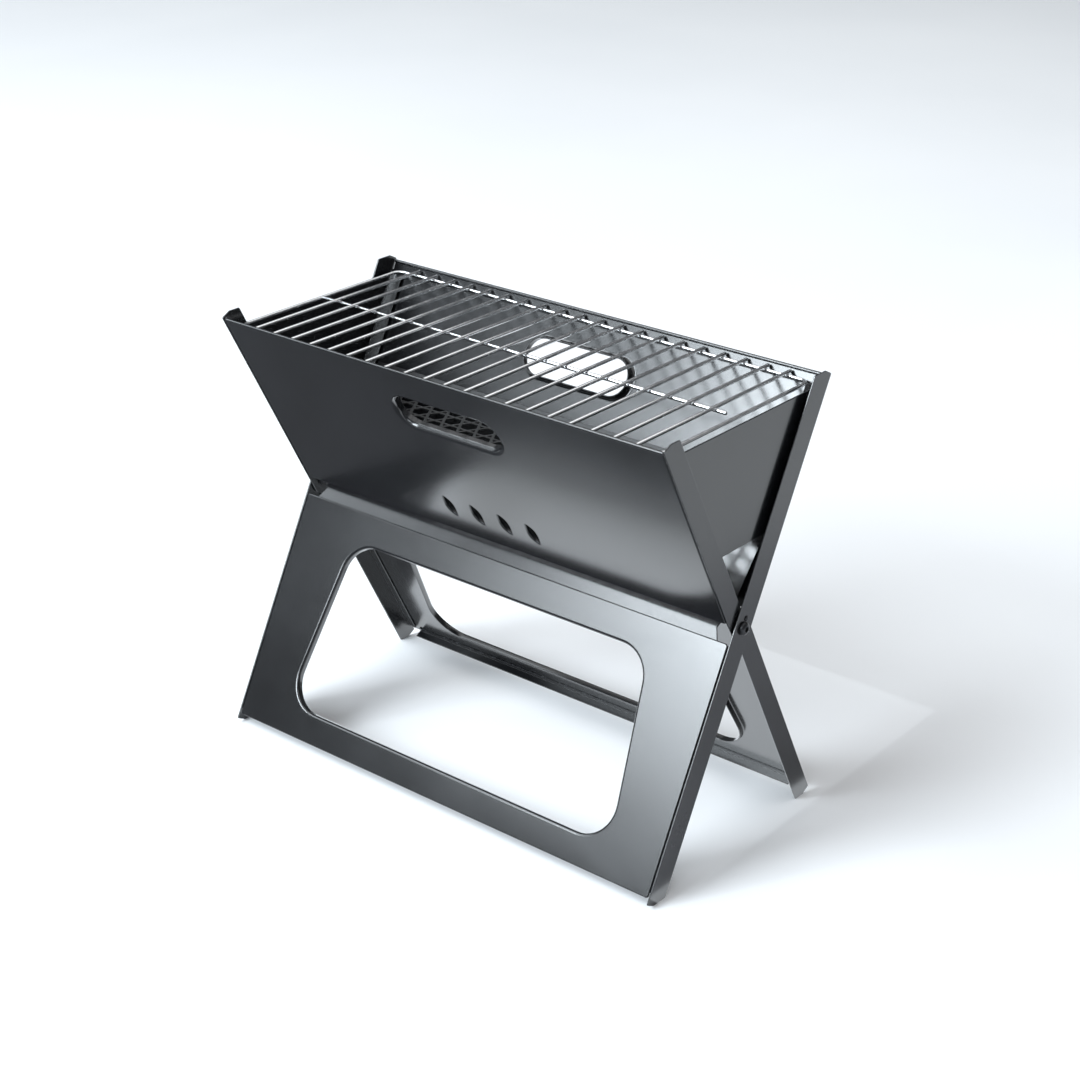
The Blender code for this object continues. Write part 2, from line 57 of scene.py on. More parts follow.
WALL_TOP = 0.2028
LEG_BOTTOM = -0.2172
HEM_RADIUS = 0.0015
HINGE_GAP = 0.0014
TROUGH_HALF_LENGTH = 0.2126
TROUGH_FRONT_LAP = (-0.027, -0.016)
TROUGH_BACK_LAP = (0.067, 0.078)
NOTCH_CENTRE = -0.004
NOTCH_FRONT_RUN = 0.012
NOTCH_BACK_RUN = 0.010
NOTCH_SHARE = 0.03
OUTER_WEB = HALF_WIDTH - SHEET
INNER_FACE = OUTER_WEB - HINGE_GAP
INNER_WEB = INNER_FACE - SHEET
OUTER_HALF = OUTER_WEB - SEAM
INNER_HALF = INNER_WEB - SEAM

# Openings
CUTOUT_CORNERS = [(-0.157, -0.041), (-0.175, -0.192), (0.175, -0.192), (0.157, -0.041)]
CUTOUT_RADIUS = 0.028
CUTOUT_RIM = 0.006
SLOT_CENTRE = 0.1555
SLOT_HALF_LENGTH = 0.0525
SLOT_HALF_HEIGHT = 0.0155
SLOT_RADIUS = 0.0148
SLOT_COLLAR = 0.008
VENT_COUNT = 4
VENT_PITCH = 0.029
VENT_CENTRE = 0.046
VENT_HALF_LENGTH = 0.011
VENT_HALF_WIDTH = 0.0044
VENT_SKEW = 0.45
VENT_SLANT = math.radians(19)

# Loose pieces
GRATE_HEIGHT = 0.085
GRATE_HALF_LENGTH = 0.2070
GRATE_LIP_HEIGHT = 0.011
HEX_PITCH = 0.018
HEX_RADIUS = 0.0076
HEX_COLUMNS = 21
TRIANGLE_RADIUS = 0.0027
END_PANEL_X = 0.2196
END_PANEL_FOOT = 0.0665
END_PANEL_TOP = 0.1670
END_PANEL_LIP = 0.011
LIP_SPRING = math.tan(math.radians(22))
WIRE_RADIUS = 0.0015
WELD = 0.0004
GRID_HALF_LENGTH = 0.212
GRID_SPACES = 21
GRID_OVERHANG = 0.0055
GRID_CORNER = 0.008
GRID_SPINE_STOP = 0.202
WASHER_THICKNESS = 0.0008
NUT_THICKNESS = 0.004
BOLT_OVERRUN = 0.0012
SIDES = {"left": -1, "right": 1}


# ---------------------------------------------------------------- geometry helpers

def outer_point(x, s, o):
    y = s * math.sin(LEAN) - o * math.cos(LEAN)
    z = PIVOT_HEIGHT + s * math.cos(LEAN) + o * math.sin(LEAN)
    return Vector((x, y, z))


def inner_point(x, s, o):
    y = -s * math.sin(LEAN) - o * math.cos(LEAN)
    z = PIVOT_HEIGHT + s * math.cos(LEAN) - o * math.sin(LEAN)
    return Vector((x, y, z))


def level_cut(height, o, sign):
    return (height - PIVOT_HEIGHT - sign * o * math.sin(LEAN)) / math.cos(LEAN)


def wall_inside(height):
    return height * math.tan(LEAN) + (HALF_DEPTH - SHEET) / math.cos(LEAN)


def signed_area(loop):
    total = 0.0
    for i, (a, b) in enumerate(loop):
        c, d = loop[(i + 1) % len(loop)]
        total += a * d - c * b
    return total / 2


def offset_corners(corners, distance):
    """Move every edge of a convex outline outwards by a distance."""
    turn = 1 if signed_area(corners) > 0 else -1
    lines = []
    count = len(corners)
    for i in range(count):
        p, q = Vector(corners[i]), Vector(corners[(i + 1) % count])
        d = (q - p).normalized()
        normal = Vector((d.y, -d.x)) * turn
        lines.append((p + normal * distance, d))
    moved = []
    for i in range(count):
        p, d = lines[i - 1]
        q, e = lines[i]
        cross = d.x * e.y - d.y * e.x
        w = q - p
        t = (w.x * e.y - w.y * e.x) / cross
        moved.append(tuple(p + d * t))
    return moved


def rounded_loop(corners, radius, steps=8):
    """Round each corner of a convex outline."""
    loop = []
    count = len(corners)
    for i in range(count):
        corner = Vector(corners[i])
        before = (Vector(corners[i - 1]) - corner).normalized()
        after = (Vector(corners[(i + 1) % count]) - corner).normalized()
        half = before.angle(after) / 2
        start = corner + before * (radius / math.tan(half))
        centre = corner + (before + after).normalized() * (radius / math.sin(half))
        sweep = math.pi - 2 * half
        turn = 1 if before.x * after.y - before.y * after.x < 0 else -1
        arm = start - centre
        for k in range(steps):
            angle = turn * sweep * k / (steps - 1)
            c, sn = math.cos(angle), math.sin(angle)
            loop.append((centre.x + arm.x * c - arm.y * sn, centre.y + arm.x * sn + arm.y * c))
    return loop


def offset_loop(loop, distance):
    """Move a smooth closed loop outwards along its own normals."""
    turn = 1 if signed_area(loop) > 0 else -1
    moved = []
    count = len(loop)
    for i in range(count):
        before, after = Vector(loop[i - 1]), Vector(loop[(i + 1) % count])
        d = (after - before).normalized()
        moved.append((loop[i][0] + d.y * turn * distance, loop[i][1] - d.x * turn * distance))
    return moved


def inside(loop, point):
    x, y = point
    hit = False
    for i, (ax, ay) in enumerate(loop):
        bx, by = loop[(i + 1) % len(loop)]
        if (ay > y) != (by > y) and x < (bx - ax) * (y - ay) / (by - ay) + ax:
            hit = not hit
    return hit


def fill_between(bm, outer, holes, flip=False):
    """Triangulate the flat region inside one loop and outside others; loops are (points, verts)."""
    if not holes:
        for face in geometry.tessellate_polygon([[Vector((a, b, 0.0)) for a, b in outer[0]]]):
            if len(set(face)) == 3:
                bm.faces.new([outer[1][i] for i in (reversed(face) if flip else face)])
        return
    points, verts, edges = [], [], []
    for loop, loop_verts in [outer] + holes:
        start = len(points)
        count = len(loop)
        points += [Vector(p) for p in loop]
        verts += loop_verts
        edges += [(start + i, start + (i + 1) % count) for i in range(count)]
    made = geometry.delaunay_2d_cdt(points, edges, [], 0, 1e-7)
    coords, faces, origins = made[0], made[2], made[3]
    for face in faces:
        centre = sum((coords[i] for i in face), Vector((0.0, 0.0))) / len(face)
        if not inside(outer[0], centre) or any(inside(h[0], centre) for h in holes):
            continue
        corner_verts = [verts[origins[i][0]] for i in face]
        if flip:
            corner_verts.reverse()
        bm.faces.new(corner_verts)


def ring_of(bm, loop, depth, place):
    return [bm.verts.new(place(a, b, depth)) for a, b in loop]


def bridge(bm, first, second):
    count = len(first)
    for i in range(count):
        j = (i + 1) % count
        bm.faces.new((first[i], first[j], second[j], second[i]))


def edge_profile(radius):
    """Front edge of a sheet turned over a small radius, as (inset, depth) pairs."""
    steps = 5
    profile = []
    for k in range(steps + 1):
        angle = math.pi / 2 * k / steps
        profile.append((radius - radius * math.sin(angle), radius - radius * math.cos(angle)))
    profile.append((0.0, SHEET - 0.0001))
    profile.append((0.0001, SHEET))
    return profile


def lip_profile(radius, depth, steps=7):
    """Section of a drawn hole: rounded entry, collar, rolled tip and back, as (offset, depth) pairs."""
    profile = []
    for k in range(steps + 1):
        angle = math.pi / 2 * k / steps
        profile.append((radius - radius * math.sin(angle), radius - radius * math.cos(angle)))
    tip = SHEET / 2
    for k in range(6):
        angle = math.pi * k / 5
        profile.append((tip - tip * math.cos(angle), depth - tip + tip * math.sin(angle)))
    inner = max(radius - SHEET, 0.0002)
    for k in range(1, steps + 1):
        angle = math.pi / 2 * k / steps
        profile.append((SHEET + inner - inner * math.cos(angle), SHEET + inner - inner * math.sin(angle)))
    return profile


def finish_mesh(name, bm, material, body, nodes, smooth_angle=40.0, weighted=True):
    """Make the piece, ride it on its body and let it stand for its CAD nodes."""
    bmesh.ops.remove_doubles(bm, verts=bm.verts, dist=1e-7)
    bmesh.ops.recalc_face_normals(bm, faces=bm.faces)
    mesh = bpy.data.meshes.new(name)
    bm.to_mesh(mesh)
    bm.free()
    for polygon in mesh.polygons:
        polygon.use_smooth = True
    mesh.set_sharp_from_angle(angle=math.radians(smooth_angle))
    mesh.materials.append(material)
    obj = bpy.data.objects.new(name, mesh)
    bpy.context.scene.collection.objects.link(obj)
    if weighted:
        modifier = obj.modifiers.new("flat faces stay flat", "WEIGHTED_NORMAL")
        modifier.keep_sharp = True
        modifier.weight = 100
    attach(obj, body)
    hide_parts(*nodes)
    return obj


def add_sheet(bm, place, outline, holes, edge_radius=0.0011):
    """Sheet with rounded edges and drawn holes. outline(inset) and hole(offset) return loops."""
    profile = edge_profile(edge_radius)
    rings = [ring_of(bm, outline(inset), depth, place) for inset, depth in profile]
    for first, second in zip(rings, rings[1:]):
        bridge(bm, first, second)
    front_holes, back_holes = [], []
    for hole, section in holes:
        hole_rings = [ring_of(bm, hole(offset), depth, place) for offset, depth in section]
        for first, second in zip(hole_rings, hole_rings[1:]):
            bridge(bm, first, second)
        front_holes.append((hole(section[0][0]), hole_rings[0]))
        back_holes.append((hole(section[-1][0]), hole_rings[-1]))
    fill_between(bm, (outline(profile[0][0]), rings[0]), front_holes)
    fill_between(bm, (outline(profile[-1][0]), rings[-1]), back_holes, flip=True)


def add_box(bm, low, high, place, bevel=0.0003):
    """Small-bevelled box in (a, b, depth) coordinates."""
    (a0, b0, c0), (a1, b1, c1) = low, high
    corners = [(a0, b0), (a1, b0), (a1, b1), (a0, b1)]
    radius = bevel
    loops = []
    for inset, depth in ((bevel, c0), (0.0, c0 + bevel), (0.0, c1 - bevel), (bevel, c1)):
        loop = rounded_loop(offset_corners(corners, -inset), max(radius - inset, 0.00005), 3)
        loops.append((loop, ring_of(bm, loop, depth, place)))
    for first, second in zip(loops, loops[1:]):
        bridge(bm, first[1], second[1])
    bm.faces.new(loops[0][1])
    bm.faces.new(loops[-1][1][::-1])


def add_plate(bm, corners, low, high, place, corner_radius=0.0008, bevel=0.00035, loop=None):
    """Flat plate cut to an outline, both faces bevelled. Works for outlines that aren't convex too."""
    base = loop if loop is not None else rounded_loop(corners, corner_radius, 4)
    steps = ((-bevel, low), (-bevel * 0.3, low + bevel * 0.3), (0.0, low + bevel),
             (0.0, high - bevel), (-bevel * 0.3, high - bevel * 0.3), (-bevel, high))
    rings = []
    for offset, depth in steps:
        moved = offset_loop(base, offset) if offset else base
        rings.append((moved, ring_of(bm, moved, depth, place)))
    for first, second in zip(rings, rings[1:]):
        bridge(bm, first[1], second[1])
    fill_between(bm, rings[0], [])
    fill_between(bm, rings[-1], [], flip=True)


def bent_path(points, radius, steps=6):
    """Round the inner corners of an open path."""
    path = [tuple(points[0])]
    for i in range(1, len(points) - 1):
        corner = Vector(points[i])
        before = (Vector(points[i - 1]) - corner).normalized()
        after = (Vector(points[i + 1]) - corner).normalized()
        half = before.angle(after) / 2
        start = corner + before * (radius / math.tan(half))
        centre = corner + (before + after).normalized() * (radius / math.sin(half))
        sweep = math.pi - 2 * half
        turn = 1 if before.x * after.y - before.y * after.x < 0 else -1
        arm = start - centre
        for k in range(steps):
            angle = turn * sweep * k / (steps - 1)
            c, sn = math.cos(angle), math.sin(angle)
            path.append((centre.x + arm.x * c - arm.y * sn, centre.y + arm.x * sn + arm.y * c))
    path.append(tuple(points[-1]))
    return path


def thick_section(path, thickness):
    """Closed section of a sheet that follows a path, with softened tips."""
    left, right = [], []
    points = [Vector(p) for p in path]
    count = len(points)
    for i, point in enumerate(points):
        before = points[i] - points[i - 1] if i > 0 else points[1] - points[0]
        after = points[i + 1] - points[i] if i < count - 1 else points[-1] - points[-2]
        d = (before.normalized() + after.normalized()).normalized()
        normal = Vector((-d.y, d.x))
        half = thickness / 2
        if i in (0, count - 1):
            end = -d if i == 0 else d
            soft = thickness * 0.25
            inner = point - end * soft
            if i == 0:
                left += [tuple(point + normal * (half - soft)), tuple(inner + normal * half)]
                right += [tuple(point - normal * (half - soft)), tuple(inner - normal * half)]
            else:
                left += [tuple(inner + normal * half), tuple(point + normal * (half - soft))]
                right += [tuple(inner - normal * half), tuple(point - normal * (half - soft))]
            continue
        left.append(tuple(point + normal * half))
        right.append(tuple(point - normal * half))
    return left + right[::-1]


def add_swept_section(bm, section, low, high, place, bevel=0.0003):
    """Extrude a section between two depths with softened ends."""
    rings = []
    for offset, depth in ((-bevel, low), (0.0, low + bevel), (0.0, high - bevel), (-bevel, high)):
        loop = offset_loop(section, offset) if offset else section
        rings.append((loop, ring_of(bm, loop, depth, place)))
    for first, second in zip(rings, rings[1:]):
        bridge(bm, first[1], second[1])
    fill_between(bm, rings[0], [])
    fill_between(bm, rings[-1], [], flip=True)


def add_tube(bm, path, radius, closed=False, sides=16):
    """Round wire along a path in a level plane, with domed ends."""
    count = len(path)
    stations = []
    for i, point in enumerate(path):
        before = path[i - 1] if (closed or i > 0) else point
        after = path[(i + 1) % count] if (closed or i < count - 1) else point
        along = (Vector(after) - Vector(before)).normalized()
        stations.append((Vector(point), along, radius))
    if not closed:
        (start, along_start, _), (end, along_end, _) = stations[0], stations[-1]
        heads, tails = [], []
        for k in range(5):
            angle = math.pi / 2 * (4 - k) / 4.6
            back = radius * 0.6 * (1 - math.sin(angle))
            heads.append((start + along_start * back, along_start, radius * math.cos(angle)))
            tails.append((end - along_end * back, along_end, radius * math.cos(angle)))
        stations = heads + stations[1:-1] + tails[::-1]
    rings = []
    for point, along, r in stations:
        side = Vector((along.y, -along.x, 0.0))
        ring = []
        for k in range(sides):
            angle = 2 * math.pi * (k + 0.5) / sides
            offset = side * math.cos(angle) + Vector((0, 0, 1)) * math.sin(angle)
            ring.append(bm.verts.new(point + offset * r))
        rings.append(ring)
    pairs = list(zip(rings, rings[1:]))
    if closed:
        pairs.append((rings[-1], rings[0]))
    for first_ring, second_ring in pairs:
        bridge(bm, first_ring, second_ring)
    if not closed:
        bm.faces.new(rings[0])
        bm.faces.new(rings[-1][::-1])


def add_blob(bm, centre, radii, segments=10, rings=6):
    """Small weld bead."""
    made = bmesh.ops.create_uvsphere(bm, u_segments=segments, v_segments=rings, radius=1.0)
    for vert in made["verts"]:
        vert.co = Vector((vert.co.x * radii[0], vert.co.y * radii[1], vert.co.z * radii[2])) + Vector(centre)


def add_turned(bm, profile, centre, side, segments=48):
    """Turned piece about X. Each profile row is (x, radius, hex share)."""
    rings = []
    for x, radius, hex_share in profile:
        ring = []
        for i in range(segments):
            angle = 2 * math.pi * i / segments
            nearest = (angle + math.pi / 6) % (math.pi / 3) - math.pi / 6
            flat = math.cos(math.pi / 6) / math.cos(nearest)
            r = radius * (1 - hex_share + hex_share * flat)
            point = (side * x, centre[1] + r * math.cos(angle), centre[2] + r * math.sin(angle))
            ring.append(bm.verts.new(point))
        rings.append(ring)
    for first, second in zip(rings, rings[1:]):
        bridge(bm, first, second)
    bm.faces.new(rings[0])
    bm.faces.new(rings[-1][::-1])


# ---------------------------------------------------------------- materials

class Nodes:
    """Short hand for building a material's node tree."""

    def __init__(self, name):
        self.material = bpy.data.materials.new(name)
        self.material.use_nodes = True
        self.tree = self.material.node_tree
        self.shader = self.tree.nodes["Principled BSDF"]
        coords = self.tree.nodes.new("ShaderNodeTexCoord")
        self.coords = coords.outputs["Object"]

    def link(self, a, b):
        self.tree.links.new(a, b)

    def noise(self, scale, detail=2.0, roughness=0.5, stretch=None):
        node = self.tree.nodes.new("ShaderNodeTexNoise")
        node.inputs["Scale"].default_value = scale
        node.inputs["Detail"].default_value = detail
        node.inputs["Roughness"].default_value = roughness
        source = self.coords
        if stretch is not None:
            mapping = self.tree.nodes.new("ShaderNodeMapping")
            mapping.inputs["Scale"].default_value = stretch
            self.link(source, mapping.inputs["Vector"])
            source = mapping.outputs["Vector"]
        self.link(source, node.inputs["Vector"])
        return node.outputs["Fac"]

    def specks(self, scale):
        node = self.tree.nodes.new("ShaderNodeTexVoronoi")
        node.inputs["Scale"].default_value = scale
        self.link(self.coords, node.inputs["Vector"])
        return node.outputs["Distance"]

    def worn_edges(self, reach):
        """1 on outer edges and corners, 0 on flats: how far a rounded normal leans from the real one."""
        rounded = self.tree.nodes.new("ShaderNodeBevel")
        rounded.samples = 4
        rounded.inputs["Radius"].default_value = reach
        geometry = self.tree.nodes.new("ShaderNodeNewGeometry")
        compare = self.tree.nodes.new("ShaderNodeVectorMath")
        compare.operation = "DOT_PRODUCT"
        self.link(rounded.outputs["Normal"], compare.inputs[0])
        self.link(geometry.outputs["Normal"], compare.inputs[1])
        return self.remap(compare.outputs["Value"], 0.985, 0.88, 0.0, 1.0)

    def remap(self, value, from_low, from_high, to_low, to_high):
        node = self.tree.nodes.new("ShaderNodeMapRange")
        node.inputs["From Min"].default_value = from_low
        node.inputs["From Max"].default_value = from_high
        node.inputs["To Min"].default_value = to_low
        node.inputs["To Max"].default_value = to_high
        self.link(value, node.inputs["Value"])
        return node.outputs["Result"]

    def maths(self, operation, a, b):
        node = self.tree.nodes.new("ShaderNodeMath")
        node.operation = operation
        for socket, value in zip(node.inputs, (a, b)):
            if isinstance(value, (int, float)):
                socket.default_value = value
            else:
                self.link(value, socket)
        return node.outputs["Value"]

    def colours(self, value, stops):
        node = self.tree.nodes.new("ShaderNodeValToRGB")
        ramp = node.color_ramp
        while len(ramp.elements) < len(stops):
            ramp.elements.new(0.5)
        for element, (position, colour) in zip(ramp.elements, stops):
            element.position = position
            element.color = (*colour, 1.0)
        self.link(value, node.inputs["Fac"])
        return node.outputs["Color"]

    def bumps(self, *layers):
        """Chain (height, distance) layers into the shader's normal."""
        previous = None
        for height, distance in layers:
            node = self.tree.nodes.new("ShaderNodeBump")
            node.inputs["Strength"].default_value = 1.0
            node.inputs["Distance"].default_value = distance
            self.link(height, node.inputs["Height"])
            if previous is not None:
                self.link(previous, node.inputs["Normal"])
            previous = node.outputs["Normal"]
        self.link(previous, self.shader.inputs["Normal"])


def enamel(name, dark, light, gloss_low, gloss_high, wave=0.00045, peel=0.000012, coat=0.0):
    """Sprayed black enamel: slight waviness of thin sheet, orange peel and a little dust."""
    n = Nodes(name)
    clouds = n.noise(7.0, 4.0, 0.55)
    fine = n.noise(260.0, 3.0, 0.6)
    dust = n.specks(340.0)
    speck = n.remap(dust, 0.035, 0.075, 1.0, 0.0)
    spread = n.noise(38.0, 2.0)
    speck = n.maths("MULTIPLY", speck, n.remap(spread, 0.55, 0.7, 0.0, 1.0))
    patches = n.remap(n.noise(150.0, 4.0, 0.65), 0.44, 0.60, 0.12, 1.0)
    chips = n.maths("MULTIPLY", n.worn_edges(0.0006), patches)
    shade = n.maths("ADD", clouds, n.maths("MULTIPLY", speck, 0.3))
    shade = n.maths("ADD", shade, n.maths("MULTIPLY", chips, 0.5))
    n.link(n.colours(shade, [(0.3, dark), (0.72, light), (1.0, tuple(6.0 * c for c in light))]),
           n.shader.inputs["Base Color"])
    gloss = n.remap(n.maths("ADD", n.maths("MULTIPLY", clouds, 0.7), n.maths("MULTIPLY", fine, 0.3)),
                    0.32, 0.68, gloss_low, gloss_high)
    dull = n.maths("ADD", n.maths("MULTIPLY", speck, 0.12), n.maths("MULTIPLY", chips, 0.12))
    n.link(n.maths("ADD", gloss, dull), n.shader.inputs["Roughness"])
    n.shader.inputs["Metallic"].default_value = 0.0
    n.shader.inputs["IOR"].default_value = 1.66
    if coat:
        n.shader.inputs["Coat Weight"].default_value = coat
        n.shader.inputs["Coat Roughness"].default_value = gloss_low * 0.8
        n.shader.inputs["Coat IOR"].default_value = 1.5
    n.bumps((n.noise(4.5, 1.0), wave), (n.noise(520.0, 2.0, 0.5), peel))
    return n.material


def chrome(name):
    """Bright plated wire with drawing marks and faint clouding."""
    n = Nodes(name)
    haze = n.noise(60.0, 4.0, 0.6)
    grain = n.noise(900.0, 2.0, 0.5)
    n.link(n.colours(haze, [(0.3, (0.82, 0.83, 0.845)), (0.7, (0.94, 0.945, 0.955))]),
           n.shader.inputs["Base Color"])
    n.shader.inputs["Metallic"].default_value = 1.0
    mixed = n.maths("ADD", n.maths("MULTIPLY", haze, 0.6), n.maths("MULTIPLY", grain, 0.4))
    n.link(n.remap(mixed, 0.35, 0.65, 0.14, 0.28), n.shader.inputs["Roughness"])
    n.bumps((n.noise(1400.0, 2.0), 0.000008), (haze, 0.00002))
    return n.material


def dark_steel(name):
    """Blackened steel hardware with fine turning marks."""
    n = Nodes(name)
    clouds = n.noise(90.0, 3.0, 0.6)
    marks = n.noise(500.0, 2.0, 0.5, stretch=(9.0, 1.0, 1.0))
    n.link(n.colours(clouds, [(0.3, (0.030, 0.031, 0.034)), (0.7, (0.085, 0.086, 0.09))]),
           n.shader.inputs["Base Color"])
    n.shader.inputs["Metallic"].default_value = 0.85
    n.link(n.remap(marks, 0.3, 0.7, 0.24, 0.42), n.shader.inputs["Roughness"])
    n.bumps((marks, 0.00003), (clouds, 0.00002))
    return n.material


def pale_floor(name):
    n = Nodes(name)
    clouds = n.noise(1.3, 3.0, 0.5)
    n.link(n.colours(clouds, [(0.3, (0.83, 0.835, 0.845)), (0.7, (0.86, 0.862, 0.868))]),
           n.shader.inputs["Base Color"])
    n.link(n.remap(clouds, 0.3, 0.7, 0.55, 0.62), n.shader.inputs["Roughness"])
    n.bumps((n.noise(300.0, 2.0), 0.00001))
    n.shader.inputs["Specular IOR Level"].default_value = 0.25
    return n.material


panel_paint = enamel("black_enamel", (0.0045, 0.0048, 0.0055), (0.009, 0.0096, 0.011), 0.16, 0.23, coat=0.25)
rail_paint = enamel("black_enamel_rails", (0.007, 0.0075, 0.0085), (0.013, 0.0138, 0.0155), 0.20, 0.28,
                    coat=0.2)
grate_paint = enamel("heat_enamel", (0.007, 0.007, 0.0075), (0.013, 0.013, 0.0135), 0.38, 0.48, wave=0.0002,
                     peel=0.00003)
wire_chrome = chrome("chrome_wire")
bolt_steel = dark_steel("dark_steel")


# ---------------------------------------------------------------- pieces

def panel_place(point, sign):
    """Sheet coordinates (x, s, depth behind the outer face) to the world."""
    return lambda x, s, depth: point(x, s, sign * (HALF_DEPTH - depth))


def cutout(offset):
    return rounded_loop(offset_corners(CUTOUT_CORNERS, offset), CUTOUT_RADIUS + offset, 12)


def hand_slot(offset):
    a, b = SLOT_HALF_LENGTH, SLOT_HALF_HEIGHT
    corners = [(-a, SLOT_CENTRE + b), (-a, SLOT_CENTRE - b), (a, SLOT_CENTRE - b), (a, SLOT_CENTRE + b)]
    return rounded_loop(offset_corners(corners, offset), SLOT_RADIUS + offset, 14)


def vent(index):
    centre = (index - (VENT_COUNT - 1) / 2) * VENT_PITCH
    steps = 14
    base = []
    for direction in (1, -1):
        for k in range(steps):
            t = -math.cos(math.pi * (k + 0.35) / (steps - 1 + 0.7))
            along = direction * t * VENT_HALF_LENGTH
            across = direction * VENT_HALF_WIDTH * (1 - t * t) * (1 + VENT_SKEW * t)
            x = centre - along * math.sin(VENT_SLANT) + across * math.cos(VENT_SLANT)
            s = VENT_CENTRE + along * math.cos(VENT_SLANT) + across * math.sin(VENT_SLANT)
            base.append((x, s))
    return lambda offset: offset_loop(base, offset) if offset else base


def make_leg_panel(name, point, half_width, sign, body):
    place = panel_place(point, sign)
    corners = [(-half_width, -PANEL_START), (-half_width, LEG_BOTTOM),
               (half_width, LEG_BOTTOM), (half_width, -PANEL_START)]

    def outline(inset):
        return rounded_loop(offset_corners(corners, -inset), 0.0022 - inset, 5)

    bm = bmesh.new()
    add_sheet(bm, place, outline, [(cutout, lip_profile(0.0026, CUTOUT_RIM))])
    lip_end = half_width - 0.011
    lip_line = LEG_BOTTOM + SHEET / 2
    bend = [(lip_line + 0.004, SHEET * 1.5), (lip_line, SHEET * 1.5), (lip_line, 0.009)]
    section = thick_section(bent_path(bend, 0.0009), SHEET)

    def place_lip(s, depth, x):
        return point(x, s, sign * (HALF_DEPTH - depth))

    add_swept_section(bm, section, -lip_end, lip_end, place_lip)
    return finish_mesh(name + "_visual", bm, panel_paint, body, [name])


def make_wall(name, point, half_width, sign, body, vents):
    place = panel_place(point, sign)
    top = WALL_TOP - HEM_RADIUS * 0.6
    corners = [(-half_width, top), (-half_width, PANEL_START), (half_width, PANEL_START), (half_width, top)]

    def outline(inset):
        return rounded_loop(offset_corners(corners, -inset), 0.0016 - inset, 5)

    holes = [(hand_slot, lip_profile(0.0042, SLOT_COLLAR, 9))]
    if vents:
        for index in range(VENT_COUNT):
            holes.append((vent(index), lip_profile(0.0014, 0.0030, 5)))
    bm = bmesh.new()
    add_sheet(bm, place, outline, holes)

    def place_hem(a, b, x):
        return point(x, a, b)

    centre_s, centre_o = WALL_TOP - HEM_RADIUS, sign * (HALF_DEPTH - HEM_RADIUS)
    loop = []
    for k in range(20):
        angle = 2 * math.pi * k / 20
        loop.append((centre_s + HEM_RADIUS * math.cos(angle), centre_o + HEM_RADIUS * math.sin(angle)))
    add_swept_section(bm, loop, -half_width + 0.0002, half_width - 0.0002, place_hem, 0.0005)
    return finish_mesh(name + "_visual", bm, panel_paint, body, [name])


def arc(radius, start, end, steps):
    return [(radius * math.cos(start + (end - start) * k / (steps - 1)),
             radius * math.sin(start + (end - start) * k / (steps - 1))) for k in range(steps)]


def soften(corners, radius, steps=4):
    """Round every corner of an outline that may turn both ways."""
    loop = []
    count = len(corners)
    for i in range(count):
        corner = Vector(corners[i])
        to_before = Vector(corners[i - 1]) - corner
        to_after = Vector(corners[(i + 1) % count]) - corner
        angle = to_before.angle(to_after)
        if angle > math.radians(160):
            loop.append(tuple(corner))
            continue
        reach = min(radius / math.tan(angle / 2), to_before.length * 0.45, to_after.length * 0.45)
        start = corner + to_before.normalized() * reach
        end = corner + to_after.normalized() * reach
        for k in range(steps):
            t = k / (steps - 1)
            loop.append(tuple(start * (1 - t) ** 2 + corner * 2 * t * (1 - t) + end * t ** 2))
    return loop


def outer_rail_corners():
    return [
        (level_cut(0.0, FOOT_FLAT_EDGE, 1), HALF_DEPTH),
        (level_cut(0.0, FOOT_FLAT_EDGE, 1), FOOT_FLAT_EDGE),
        (level_cut(0.0, -HALF_DEPTH, 1), -HALF_DEPTH),
        (level_cut(TOP_HEIGHT, -FOOT_FLAT_EDGE, 1), -HALF_DEPTH),
        (level_cut(TOP_HEIGHT, -FOOT_FLAT_EDGE, 1), -FOOT_FLAT_EDGE),
        (level_cut(TOP_HEIGHT, HALF_DEPTH, 1), HALF_DEPTH),
    ]


def inner_rail_corners():
    free = HALF_DEPTH - FREE_EDGE_TRIM
    eye_free = math.asin(free / PIVOT_EYE_RADIUS)
    eye_panel = math.asin(HALF_DEPTH / PIVOT_EYE_RADIUS)
    return [
        (level_cut(0.0, -FOOT_FLAT_EDGE, -1), -HALF_DEPTH),
        (level_cut(0.0, -FOOT_FLAT_EDGE, -1), -FOOT_FLAT_EDGE),
        (level_cut(0.0, free, -1), free),
        *arc(PIVOT_EYE_RADIUS, math.pi - eye_free, math.pi - eye_panel, 6),
        (level_cut(TOP_HEIGHT, FOOT_FLAT_EDGE, -1), HALF_DEPTH),
        (level_cut(TOP_HEIGHT, FOOT_FLAT_EDGE, -1), FOOT_FLAT_EDGE),
        (level_cut(TOP_HEIGHT, -free, -1), -free),
        *arc(PIVOT_EYE_RADIUS, -eye_free, -eye_panel, 6),
    ]


def make_rail(name, side, point, face, corners, front_low, body):
    def place(s, o, x):
        return point(side * x, s, o)

    bm = bmesh.new()
    add_plate(bm, None, face - SHEET, face, place, loop=soften(corners, 0.0013))
    near = HALF_DEPTH - 2 * SHEET - GAP
    far = HALF_DEPTH - SHEET - GAP
    spans = ((LEG_BOTTOM + FLANGE_END_INSET / 2, -FLANGE_START, front_low),
             (FLANGE_START, WALL_TOP - FLANGE_END_INSET, -front_low))
    for s_low, s_high, sign in spans:
        b0, b1 = sorted((sign * near, sign * far))
        add_box(bm, (s_low, b0, face - FLANGE_WIDTH), (s_high, b1, face - SHEET / 2), place)
    return finish_mesh(name + "_visual", bm, rail_paint, body, [name])


